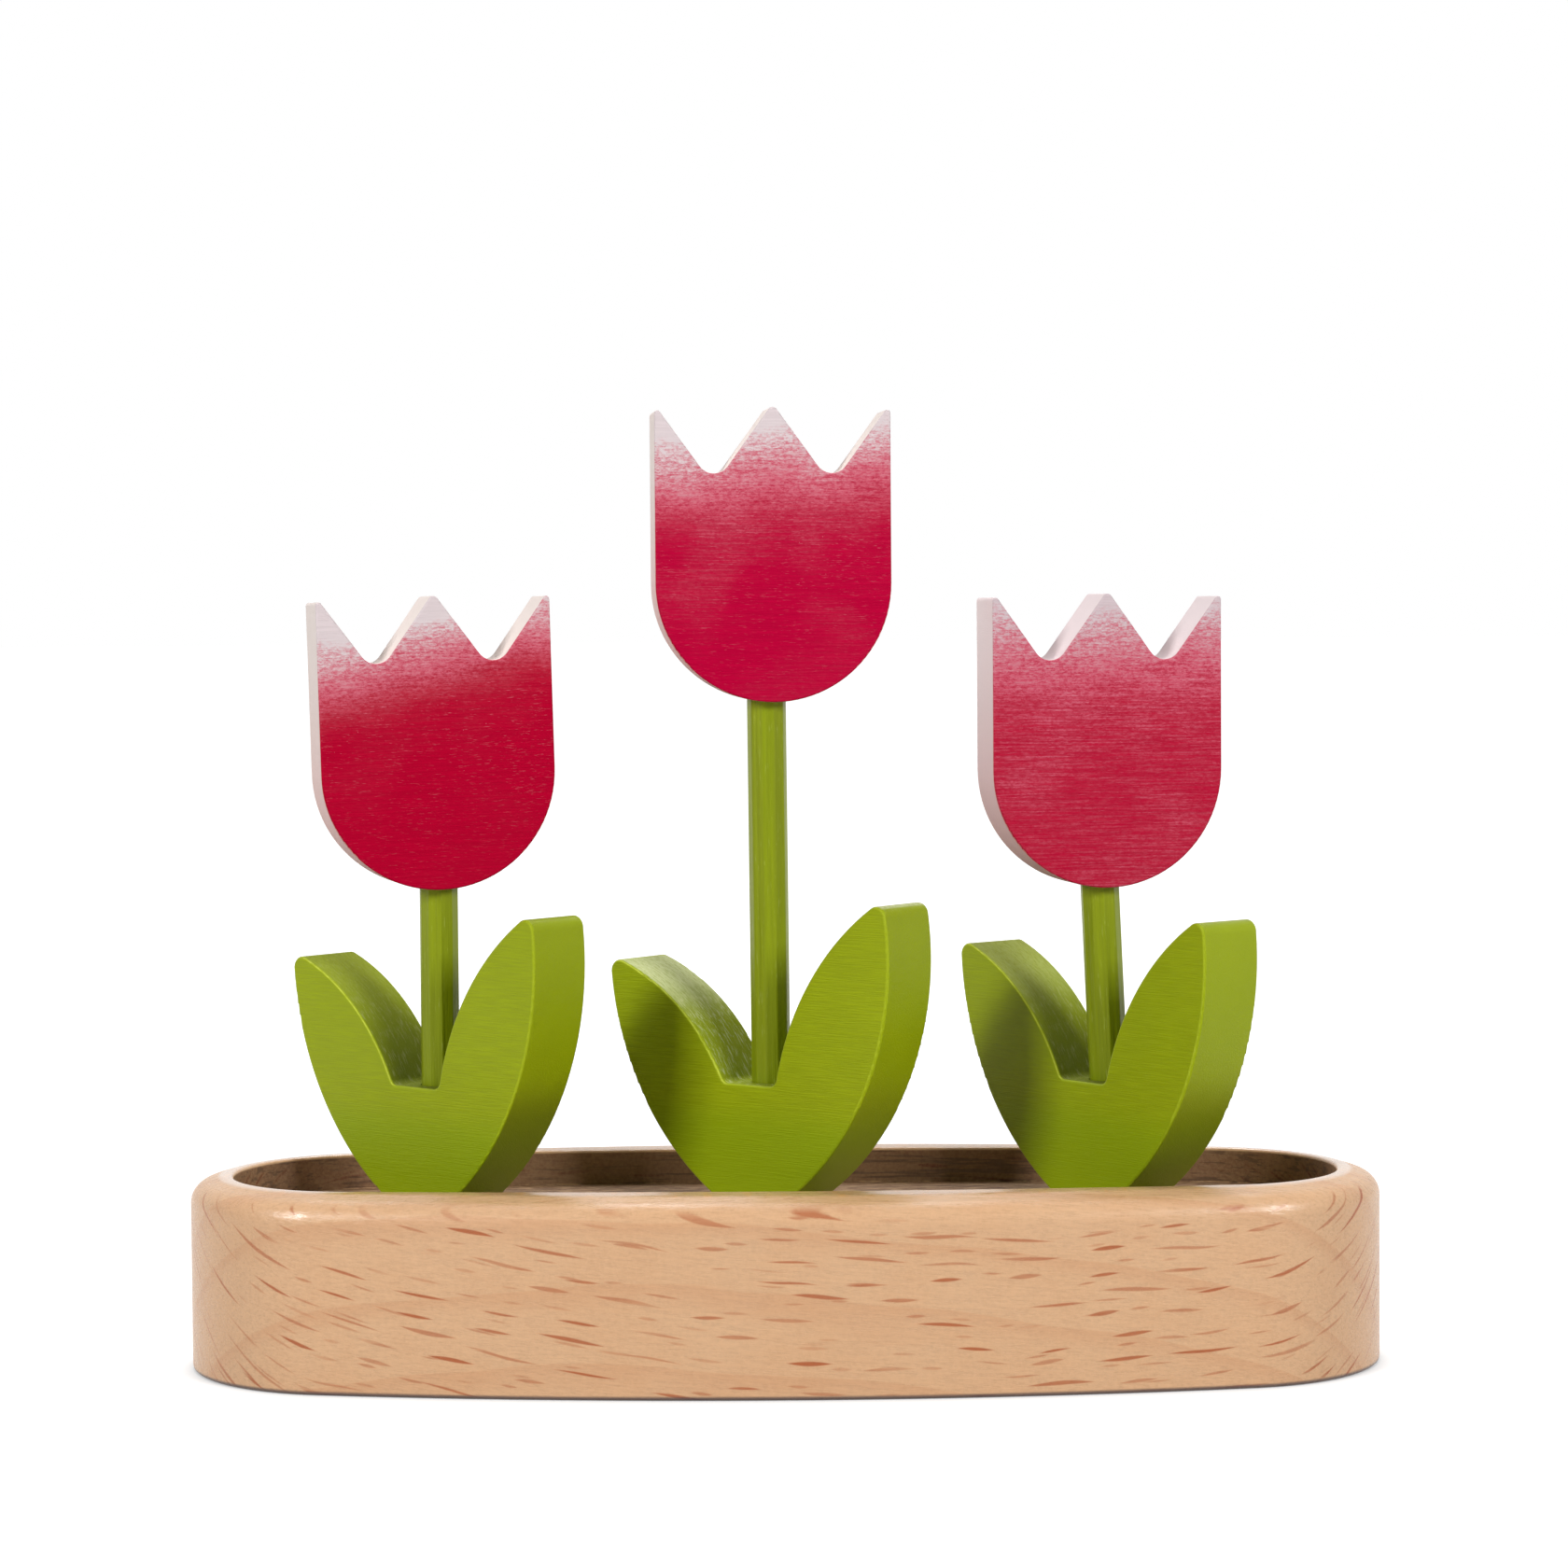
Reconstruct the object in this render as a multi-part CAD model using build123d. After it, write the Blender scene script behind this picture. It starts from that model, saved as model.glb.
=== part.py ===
"""Three wooden tulips that stand on pegs in a shallow beech tray.

The tray lies along X and stands on the XY plane, with its middle at the origin.
Each tulip is a V-shaped leaf pair on a peg, a dowel stem glued in the notch of the V,
and a flat flower head that is pushed onto the top of the stem.
"""
from build123d import *
import math
import os

# Tray, in millimetres
tray_length = 91.2
tray_width = 32.4
tray_side_bow = 3.0
tray_height = 14.75
rim_slope_width = 2.4
rim_fall = 0.75
rim_edge_radius = 1.7
rim_crest_radius = 2.0
base_edge_radius = 0.4

# Recess in the top of the tray, inside a rim that is wider at the sides
rim_end_width = 3.25
rim_side_width = 4.7
recess_side_bow = 1.5
recess_depth = 2.75
recess_edge_radius = 0.3

# Row of tulips along the tray, from the ends of the recess to the outer stems
row_end_margin = 16.8
row_offset = -0.7

# How far each tulip stands to the right of its even place in the row
left_place_shift = -0.15
centre_place_shift = -0.3
right_place_shift = 0.1

# Peg under each leaf pair
peg_diameter = 2.4
peg_depth_in_tray = 5.0
peg_depth_in_leaf = 4.0
peg_end_gap = 0.2
peg_end_chamfer = 0.25

# Stem, and how far it shows between the notch and the head of each tulip
stem_diameter = 3.0
stem_depth_in_leaf = 4.2
stem_depth_in_head = 6.5
stem_end_chamfer = 0.2
left_stem_showing = 15.1
centre_stem_showing = 29.2
right_stem_showing = 14.9

# Running clearance round pegs and stems, on the radius
turning_clearance = 0.05

# Leaf pair, measured up from its flat foot
leaf_thickness = 5.6
left_short_leaf_reach = 13.5
left_tall_leaf_reach = 12.8
centre_short_leaf_reach = 13.85
centre_tall_leaf_reach = 13.3
right_short_leaf_reach = 14.1
right_tall_leaf_reach = 13.3
leaf_widest_height = 19.5
foot_width = 4.6
notch_height = 9.5
notch_width = 5.0
notch_corner_radius = 0.7
leaf_tip_radius = 0.9
leaf_arris_radius = 0.2
leaf_inner_bow_share = 0.11
left_short_leaf_rise = 19.25
left_tall_leaf_rise = 23.45
centre_short_leaf_rise = 18.8
centre_tall_leaf_rise = 24.2
right_short_leaf_rise = 19.65
right_tall_leaf_rise = 22.9

# Flower head, measured up from the bottom of its round end
head_width = 18.0
head_height = 22.65
head_thickness = 5.0
petal_valley_depth = 6.2
petal_valley_radius = 1.3
petal_tip_radius = 0.4
petal_side_tip_radius = 0.25
head_arris_radius = 0.15

# How far the middle of each head stands to the right of its stem
left_head_offset = -0.1
centre_head_offset = 0.4
right_head_offset = 0.0

# Angles that each piece is turned or leans; leaves turn clockwise from above, heads the other way
left_leaf_turn_degrees = 40.4
centre_leaf_turn_degrees = 38.1
right_leaf_turn_degrees = 51.6
left_head_turn_degrees = 15.3
centre_head_turn_degrees = 6.0
right_head_turn_degrees = 11.5
left_head_lean_degrees = 1.3
centre_stem_lean_degrees = 0.3
right_stem_lean_degrees = 2.5

# Cuts run past the surface by this much
cut_overrun = 1.0

recess_length = tray_length - 2 * rim_end_width
recess_width = tray_width - 2 * rim_side_width
tulip_pitch = recess_length / 2 - row_end_margin
recess_floor = tray_height - recess_depth
notch_level = recess_floor + notch_height


def oval(length, width, side_bow):
    """Closed plan with two round ends and two sides that bow past them, tangent all round."""
    half_length = length / 2
    half_width = width / 2
    end_radius = half_width - side_bow
    side_radius = ((half_length - end_radius) ** 2 + half_width**2 - end_radius**2) / (2 * side_bow)
    end_centre = half_length - end_radius
    join_x = end_centre * side_radius / (side_radius - end_radius)
    join_y = end_radius * (side_radius - half_width) / (side_radius - end_radius)
    outline = Wire(
        [
            ThreePointArc((join_x, join_y), (0, half_width), (-join_x, join_y)),
            ThreePointArc((-join_x, join_y), (-half_length, 0), (-join_x, -join_y)),
            ThreePointArc((-join_x, -join_y), (0, -half_width), (join_x, -join_y)),
            ThreePointArc((join_x, -join_y), (half_length, 0), (join_x, join_y)),
        ]
    )
    return Face(outline)


def make_tray(tulip_places):
    """Solid tray with a rim that falls outwards, a recess, and a peg hole for each tulip."""
    tray = extrude(oval(tray_length, tray_width, tray_side_bow), tray_height)
    top_face = tray.faces().sort_by(Axis.Z)[-1]
    tray = chamfer(top_face.edges(), rim_slope_width, rim_fall, reference=top_face)
    slope_foot = tray_height - rim_fall
    tray = fillet(tray.edges().filter_by_position(Axis.Z, slope_foot, slope_foot), rim_edge_radius)
    tray = fillet(tray.edges().filter_by_position(Axis.Z, tray_height, tray_height), rim_crest_radius)
    tray = fillet(tray.edges().filter_by_position(Axis.Z, 0, 0), base_edge_radius)
    recess_plan = oval(recess_length, recess_width, recess_side_bow)
    tray = tray - extrude(Pos(0, 0, recess_floor) * recess_plan, recess_depth + cut_overrun)
    recess_edges = tray.faces().sort_by(Axis.Z)[-1].inner_wires().edges()
    tray = fillet(recess_edges, recess_edge_radius)
    hole_radius = peg_diameter / 2 + turning_clearance
    hole_height = peg_depth_in_tray + cut_overrun
    for place in tulip_places:
        hole_middle = recess_floor - peg_depth_in_tray + hole_height / 2
        tray = tray - Pos(place, 0, hole_middle) * Cylinder(hole_radius, hole_height)
    return tray


def round_bar(diameter, length, end_chamfer):
    """Upright dowel with softened ends that stands on the XY plane."""
    bar = Pos(0, 0, length / 2) * Cylinder(diameter / 2, length)
    return chamfer(bar.edges().filter_by(GeomType.CIRCLE), end_chamfer)


def make_peg(place):
    """Short dowel, half in the tray and half in the foot of the leaf pair."""
    bottom = recess_floor - peg_depth_in_tray + peg_end_gap
    length = peg_depth_in_tray + peg_depth_in_leaf - 2 * peg_end_gap
    return Pos(place, 0, bottom) * round_bar(peg_diameter, length, peg_end_chamfer)


def outer_edge(height, reach):
    """Distance from the stem to the round outer side of a leaf, at a height above the foot."""
    inset = reach - foot_width / 2
    outer_radius = (inset**2 + leaf_widest_height**2) / (2 * inset)
    return reach - outer_radius + math.sqrt(outer_radius**2 - (height - leaf_widest_height) ** 2)


def bowed_edge(start, end):
    """Arc from start to end that bows up into the notch."""
    run = end[0] - start[0]
    rise = end[1] - start[1]
    side = math.copysign(1, run)
    middle_x = (start[0] + end[0]) / 2 - side * rise * leaf_inner_bow_share
    middle_y = (start[1] + end[1]) / 2 + side * run * leaf_inner_bow_share
    return ThreePointArc(start, (middle_x, middle_y), end)


def make_leaf_pair(place, turn_degrees, short_leaf, tall_leaf, stem_axis):
    """V-shaped block of two leaves on one flat foot, bored for its stem and its peg."""
    foot = foot_width / 2
    notch = notch_width / 2
    short_reach, short_rise = short_leaf
    tall_reach, tall_rise = tall_leaf
    left_tip = (-outer_edge(short_rise, short_reach), short_rise)
    right_tip = (outer_edge(tall_rise, tall_reach), tall_rise)
    left_middle = (-outer_edge(short_rise / 2, short_reach), short_rise / 2)
    right_middle = (outer_edge(tall_rise / 2, tall_reach), tall_rise / 2)
    outline = Wire(
        [
            Line((-foot, 0), (foot, 0)),
            ThreePointArc((foot, 0), right_middle, right_tip),
            bowed_edge((notch, notch_height), right_tip),
            Line((notch, notch_height), (-notch, notch_height)),
            bowed_edge((-notch, notch_height), left_tip),
            ThreePointArc(left_tip, left_middle, (-foot, 0)),
        ]
    )
    profile = Face(outline)
    tips = profile.vertices().sort_by(Axis.X)
    profile = profile.fillet_2d(leaf_tip_radius, [tips[0], tips[-1]])
    notch_corners = profile.vertices().filter_by_position(Axis.Y, notch_height, notch_height)
    profile = profile.fillet_2d(notch_corner_radius, notch_corners)
    block = extrude(Plane.XZ * profile, leaf_thickness / 2, both=True)
    face_edges = block.edges().group_by(Axis.Y)
    raised_edges = [edge for edge in face_edges[0] + face_edges[-1] if edge.bounding_box().max.Z > 0]
    block = fillet(raised_edges, leaf_arris_radius)
    block = Pos(place, 0, recess_floor) * Rot(0, 0, -turn_degrees) * block
    peg_hole_height = peg_depth_in_leaf + cut_overrun
    peg_hole_middle = recess_floor + peg_depth_in_leaf - peg_hole_height / 2
    peg_hole = Cylinder(peg_diameter / 2 + turning_clearance, peg_hole_height)
    block = block - Pos(place, 0, peg_hole_middle) * peg_hole
    stem_hole_height = stem_depth_in_leaf + cut_overrun
    stem_hole = Cylinder(stem_diameter / 2 + turning_clearance, stem_hole_height)
    return block - stem_axis * Pos(0, 0, stem_hole_height / 2 - stem_depth_in_leaf) * stem_hole


def make_stem(showing, stem_axis):
    """Dowel that runs from the notch of the leaf pair into the flower head."""
    length = stem_depth_in_leaf + showing + stem_depth_in_head
    return stem_axis * Pos(0, 0, -stem_depth_in_leaf) * round_bar(stem_diameter, length, stem_end_chamfer)


def make_flower_head(turn_degrees, lean_degrees, offset, showing, stem_axis):
    """Flat head with a round bottom and three points, bored from below for its stem."""
    reach = head_width / 2
    valley = head_height - petal_valley_depth
    outline = Wire(
        [
            ThreePointArc((-reach, reach), (0, 0), (reach, reach)),
            Line((reach, reach), (reach, head_height)),
            Line((reach, head_height), (reach / 2, valley)),
            Line((reach / 2, valley), (0, head_height)),
            Line((0, head_height), (-reach / 2, valley)),
            Line((-reach / 2, valley), (-reach, head_height)),
            Line((-reach, head_height), (-reach, reach)),
        ]
    )
    profile = Face(outline)
    valleys = profile.vertices().filter_by_position(Axis.Y, valley, valley)
    profile = profile.fillet_2d(petal_valley_radius, valleys)
    tips = profile.vertices().group_by(Axis.Y)[-1].sort_by(Axis.X)
    profile = profile.fillet_2d(petal_side_tip_radius, [tips[0], tips[-1]])
    middle_tip = profile.vertices().sort_by(Axis.Y)[-1]
    profile = profile.fillet_2d(petal_tip_radius, [middle_tip])
    plate = extrude(Plane.XZ * profile, head_thickness / 2, both=True)
    face_edges = plate.edges().group_by(Axis.Y)
    plate = fillet(face_edges[0] + face_edges[-1], head_arris_radius)
    head_foot = stem_axis * Pos(0, 0, showing)
    plate = Rot(0, -lean_degrees, 0) * Rot(0, 0, turn_degrees) * Pos(offset, 0, 0) * plate
    plate = Pos(head_foot.position) * plate
    bore_height = stem_depth_in_head + cut_overrun
    bore = Cylinder(stem_diameter / 2 + turning_clearance, bore_height)
    return plate - head_foot * Pos(0, 0, stem_depth_in_head - bore_height / 2) * bore


tulips = {
    "left": {
        "place": row_offset - tulip_pitch + left_place_shift,
        "leaf_turn_degrees": left_leaf_turn_degrees,
        "short_leaf": (left_short_leaf_reach, left_short_leaf_rise),
        "tall_leaf": (left_tall_leaf_reach, left_tall_leaf_rise),
        "showing": left_stem_showing,
        "stem_lean_degrees": 0,
        "head_turn_degrees": left_head_turn_degrees,
        "head_lean_degrees": left_head_lean_degrees,
        "head_offset": left_head_offset,
    },
    "centre": {
        "place": row_offset + centre_place_shift,
        "leaf_turn_degrees": centre_leaf_turn_degrees,
        "short_leaf": (centre_short_leaf_reach, centre_short_leaf_rise),
        "tall_leaf": (centre_tall_leaf_reach, centre_tall_leaf_rise),
        "showing": centre_stem_showing,
        "stem_lean_degrees": centre_stem_lean_degrees,
        "head_turn_degrees": centre_head_turn_degrees,
        "head_lean_degrees": 0,
        "head_offset": centre_head_offset,
    },
    "right": {
        "place": row_offset + tulip_pitch + right_place_shift,
        "leaf_turn_degrees": right_leaf_turn_degrees,
        "short_leaf": (right_short_leaf_reach, right_short_leaf_rise),
        "tall_leaf": (right_tall_leaf_reach, right_tall_leaf_rise),
        "showing": right_stem_showing,
        "stem_lean_degrees": right_stem_lean_degrees,
        "head_turn_degrees": right_head_turn_degrees,
        "head_lean_degrees": 0,
        "head_offset": right_head_offset,
    },
}

pieces = {"tray": make_tray([tulip["place"] for tulip in tulips.values()])}
for side, tulip in tulips.items():
    place = tulip["place"]
    stem_axis = Pos(place, 0, notch_level) * Rot(0, -tulip["stem_lean_degrees"], 0)
    pieces[side + "_peg"] = make_peg(place)
    pieces[side + "_leaf_pair"] = make_leaf_pair(
        place, tulip["leaf_turn_degrees"], tulip["short_leaf"], tulip["tall_leaf"], stem_axis
    )
    pieces[side + "_stem"] = make_stem(tulip["showing"], stem_axis)
    pieces[side + "_flower_head"] = make_flower_head(
        tulip["head_turn_degrees"],
        tulip["head_lean_degrees"],
        tulip["head_offset"],
        tulip["showing"],
        stem_axis,
    )

os.makedirs("parts", exist_ok=True)
for name, piece in pieces.items():
    export_step(piece, "parts/" + name + ".step")
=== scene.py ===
"""Three wooden tulips in a row in a shallow beech tray with rounded ends."""

import logging
import math
from dataclasses import dataclass
from enum import Enum
from functools import partial, reduce
from typing import Sequence, Union

import bmesh
import bpy
from mathutils import Matrix, Vector


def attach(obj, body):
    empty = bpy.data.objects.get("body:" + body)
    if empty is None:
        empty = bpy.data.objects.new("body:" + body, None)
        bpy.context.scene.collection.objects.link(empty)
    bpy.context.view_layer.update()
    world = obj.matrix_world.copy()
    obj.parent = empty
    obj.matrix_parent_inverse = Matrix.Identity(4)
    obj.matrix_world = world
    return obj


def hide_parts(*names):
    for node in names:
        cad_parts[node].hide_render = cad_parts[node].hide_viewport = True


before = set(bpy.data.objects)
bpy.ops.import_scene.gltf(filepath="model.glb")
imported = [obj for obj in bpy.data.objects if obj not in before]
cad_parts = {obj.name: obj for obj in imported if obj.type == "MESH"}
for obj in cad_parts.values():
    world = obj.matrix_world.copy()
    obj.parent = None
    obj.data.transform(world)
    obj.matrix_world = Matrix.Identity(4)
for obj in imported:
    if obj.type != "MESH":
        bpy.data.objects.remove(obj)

LOG = logging.getLogger("tulips")
MM = 0.001
MIX_FIRST, MIX_SECOND, MIX_RESULT = 6, 7, 2
DOT_SPAN = (0.36, 0.64)

Socket = bpy.types.NodeSocket
Span = tuple[float, float]
Triple = tuple[float, float, float]
Colour = Triple
Light = tuple[float, float, float, float]
Value = Union[float, Socket]
Outputs = bpy.types.bpy_prop_collection
Node = bpy.types.Node
Material = bpy.types.Material

LEAF_GREEN: Colour = (145, 161, 3)
STEM_GREEN: Colour = (123, 137, 9)
PEG_BEECH: Colour = (219, 184, 138)
TRAY_BEECH: Colour = (211, 169, 129)


def linear(colour: Colour, level: float = 1.0) -> Light:
    """Turns a screen colour into the light values that a shader takes, by the sRGB curve.

    Args:
        colour: Red, green and blue as seen on a screen, each from 0 to 255.
        level: Factor on the light, which stops at full light.

    Returns:
        The colour in linear light, with full alpha.
    """
    parts = [part / 255 for part in colour]
    light = [part / 12.92 if part <= 0.04045 else ((part + 0.055) / 1.055) ** 2.4 for part in parts]
    return (*[min(part * level, 1.0) for part in light], 1.0)


def add_mesh(name: str, shape: bmesh.types.BMesh, material: Material) -> bpy.types.Object:
    """Puts a finished shape into the scene.

    Args:
        name: Name of the mesh and of its object.
        shape: The shape, which is used up.
        material: Its finish.

    Returns:
        The new object.
    """
    mesh = bpy.data.meshes.new(name)
    shape.to_mesh(mesh)
    shape.free()
    mesh.materials.append(material)
    piece = bpy.data.objects.new(name, mesh)
    bpy.context.scene.collection.objects.link(piece)
    return piece


class Painter:
    """Adds and joins the nodes of one material, world or node group."""

    def __init__(self, tree: bpy.types.NodeTree) -> None:
        """Keeps the tree that the nodes go into."""
        self.tree = tree

    def add(self, kind: str, **settings: object) -> Node:
        """Adds a node.

        Args:
            kind: Type name of the node.
            settings: Properties set on the node.

        Returns:
            The new node.
        """
        node = self.tree.nodes.new(kind)
        for name, value in settings.items():
            setattr(node, name, value)
        return node

    def feed(self, socket: Socket, value: object) -> None:
        """Links a socket to another, or sets its value."""
        if isinstance(value, Socket):
            self.tree.links.new(value, socket)
        else:
            socket.default_value = value

    def math(self, operation: str, first: Value, second: Value = 0.0, clamp: bool = False) -> Socket:
        """Works out one number from one or two others.

        Args:
            operation: Name of the Math node's operation.
            first: First number or socket.
            second: Second number or socket.
            clamp: Whether the result is kept between 0 and 1.

        Returns:
            The socket that holds the result.
        """
        node = self.add("ShaderNodeMath", operation=operation, use_clamp=clamp)
        self.feed(node.inputs[0], first)
        self.feed(node.inputs[1], second)
        return node.outputs[0]

    def plus(self, *terms: Value) -> Socket:
        """Adds up two or more numbers, in their order."""
        return reduce(partial(self.math, "ADD"), terms)

    def times(self, *factors: Value) -> Socket:
        """Multiplies two or more numbers, in their order."""
        return reduce(partial(self.math, "MULTIPLY"), factors)

    def minus(self, first: Value, second: Value) -> Socket:
        """Takes the second number from the first."""
        return self.math("SUBTRACT", first, second)

    def over(self, first: Value, second: Value) -> Socket:
        """Divides the first number by the second."""
        return self.math("DIVIDE", first, second)

    def absolute(self, value: Value) -> Socket:
        """Drops the sign of a number."""
        return self.math("ABSOLUTE", value)

    def centred(self, value: Value) -> Socket:
        """Shifts a number that runs from 0 to 1, so that its middle is 0."""
        return self.minus(value, 0.5)

    def rest(self, share: Value) -> Socket:
        """Gives what a share leaves of the whole."""
        return self.minus(1.0, share)

    def vector_math(self, operation: str, first: object, second: object) -> Socket:
        """Works out one vector from two others."""
        node = self.add("ShaderNodeVectorMath", operation=operation)
        self.feed(node.inputs[0], first)
        self.feed(node.inputs[1], second)
        return node.outputs[0]

    def step(self, value: Value, start: Value, end: Value, low: Value = 0.0, high: Value = 1.0) -> Socket:
        """Goes smoothly from one level to another over a span.

        Args:
            value: Number that runs over the span.
            start: Where the span starts.
            end: Where the span ends.
            low: Level before the span.
            high: Level after the span.

        Returns:
            The socket that holds the level.
        """
        node = self.add("ShaderNodeMapRange", interpolation_type="SMOOTHSTEP")
        for socket, number in zip(node.inputs, (value, start, end, low, high)):
            self.feed(socket, number)
        return node.outputs[0]

    def fade(self, value: Value, start: Value, end: Value, full: Value = 1.0) -> Socket:
        """Goes smoothly from a full level down to zero over a span."""
        return self.step(value, start, end, full, 0.0)

    def mix(self, share: Value, first: object, second: object, blend: str = "MIX") -> Socket:
        """Mixes two colours.

        Args:
            share: How much of the second colour shows, from 0 to 1.
            first: First colour or socket.
            second: Second colour or socket.
            blend: Name of the blend type.

        Returns:
            The socket that holds the mixed colour.
        """
        node = self.add("ShaderNodeMix", data_type="RGBA", blend_type=blend)
        self.feed(node.inputs[0], share)
        self.feed(node.inputs[MIX_FIRST], first)
        self.feed(node.inputs[MIX_SECOND], second)
        return node.outputs[MIX_RESULT]

    def streak(self, streaks: Socket, colour: Colour, dark: float, light: float) -> Socket:
        """Lets a colour vary between two levels with the streaks of the grain."""
        return self.mix(streaks, linear(colour, dark), linear(colour, light))

    def lay(self, under: object, over: Colour, mask: Value, strength: Value, level: float = 1.0) -> Socket:
        """Lays one colour over another where a mask shows.

        Args:
            under: Colour or socket below.
            over: Colour on top, as seen on a screen.
            mask: Where the top colour shows, from 0 to 1.
            strength: How much of it shows there.
            level: Factor on its light.

        Returns:
            The socket that holds the mixed colour.
        """
        return self.mix(self.times(mask, strength), under, linear(over, level))

    def split(self, vector: Socket) -> tuple[Socket, Socket, Socket]:
        """Takes a vector apart into its three numbers."""
        node = self.add("ShaderNodeSeparateXYZ")
        self.feed(node.inputs[0], vector)
        return node.outputs[0], node.outputs[1], node.outputs[2]

    def join(self, first: Value, second: Value, third: Value) -> Socket:
        """Makes a vector from three numbers."""
        node = self.add("ShaderNodeCombineXYZ")
        for socket, number in zip(node.inputs, (first, second, third)):
            self.feed(socket, number)
        return node.outputs[0]

    def stretch(self, parts: Sequence[Socket], factors: Triple) -> Socket:
        """Makes a vector from three numbers, each multiplied by its own factor."""
        return self.join(*map(self.times, parts, factors))

    def draw(self, first: Value, second: Value, third: Value) -> tuple[Socket, Socket, Socket]:
        """Draws three lots from 0 to 1 for a set of three whole numbers."""
        node = self.add("ShaderNodeTexWhiteNoise", noise_dimensions="3D")
        self.feed(node.inputs["Vector"], self.join(first, second, third))
        return self.split(node.outputs["Color"])

    def noise(
        self, vector: Socket, scale: float = 1.0, detail: float = 2.0, roughness: float = 0.5
    ) -> Socket:
        """Adds soft noise and returns its level, about 0.5 on average."""
        node = self.add("ShaderNodeTexNoise")
        self.feed(node.inputs["Vector"], vector)
        for label, number in (("Scale", scale), ("Detail", detail), ("Roughness", roughness)):
            node.inputs[label].default_value = number
        return node.outputs[0]


class Effect:
    """A node group that several materials share."""

    def __init__(self, name: str, inputs: Sequence[str], outputs: Sequence[str]) -> None:
        """Starts the group with a vector, numbers and masks.

        Args:
            name: Name of the group.
            inputs: Name of each number that it takes beside the vector.
            outputs: Name of each mask that it gives.
        """
        self.tree = bpy.data.node_groups.new(name, "ShaderNodeTree")
        face = self.tree.interface
        face.new_socket("Vector", in_out="INPUT", socket_type="NodeSocketVector")
        for label in inputs:
            face.new_socket(label, in_out="INPUT", socket_type="NodeSocketFloat")
        for label in outputs:
            face.new_socket(label, in_out="OUTPUT", socket_type="NodeSocketFloat")
        self.painter = Painter(self.tree)
        self.inside = self.painter.add("NodeGroupInput").outputs
        self.out = self.painter.add("NodeGroupOutput").inputs

    def place(self, painter: Painter, **values: object) -> Outputs:
        """Puts the group into a material.

        Args:
            painter: Painter of the material's tree.
            values: Value or socket of each input, by its name with _ for a space.

        Returns:
            The outputs of the placed group.
        """
        node = painter.add("ShaderNodeGroup", node_tree=self.tree)
        for label, value in values.items():
            painter.feed(node.inputs[label.replace("_", " ")], value)
        return node.outputs


def grain_effect() -> Effect:
    """Makes the fine streaks, scratches and clouds that run along the first axis of sawn wood."""
    effect = Effect("sawn_grain", ("Length", "Width", "Seed"), ("Streak", "Scratch", "Cloud"))
    streak_span, scratch_span, cloud_span = (0.32, 0.68), (0.6, 0.74), (0.3, 0.7)
    scratch_shortness, scratch_scale, cloud_scale = 3.1, 1.7, 0.22
    painter, inside = effect.painter, effect.inside
    along, across, up = painter.split(inside["Vector"])
    long = painter.plus(painter.over(along, inside["Length"]), inside["Seed"])
    wide = painter.over(across, inside["Width"])
    high = painter.over(up, inside["Width"])
    streak = painter.noise(painter.join(long, wide, high), detail=3.0, roughness=0.6)
    painter.feed(effect.out["Streak"], painter.step(streak, *streak_span))
    short = painter.times(long, scratch_shortness)
    scratch = painter.noise(painter.join(short, wide, high), scale=scratch_scale, roughness=0.7)
    painter.feed(effect.out["Scratch"], painter.step(scratch, *scratch_span))
    soft = painter.vector_math("MULTIPLY", inside["Vector"], (cloud_scale,) * 3)
    cloud = painter.noise(painter.vector_math("ADD", soft, painter.join(inside["Seed"], 0.0, 0.0)))
    painter.feed(effect.out["Cloud"], painter.step(cloud, *cloud_span))
    return effect


def speck_effect() -> Effect:
    """Makes small round specks, such as dust under the paint."""
    effect = Effect("dust_specks", ("Spacing", "Size", "Share"), ("Speck",))
    smallest, soft_share = 0.4, 0.4
    painter, inside = effect.painter, effect.inside
    cells = painter.add("ShaderNodeTexVoronoi")
    scaled = painter.vector_math("DIVIDE", inside["Vector"], painter.join(*[inside["Spacing"]] * 3))
    painter.feed(cells.inputs["Vector"], scaled)
    cells.inputs["Scale"].default_value = 1.0
    away = painter.times(cells.outputs["Distance"], inside["Spacing"])
    lot, size, _ = painter.split(cells.outputs["Color"])
    reach = painter.times(inside["Size"], painter.plus(size, smallest))
    dot = painter.fade(away, painter.times(reach, soft_share), reach)
    there = painter.math("LESS_THAN", lot, inside["Share"])
    painter.feed(effect.out["Speck"], painter.times(dot, there))
    return effect


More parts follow.
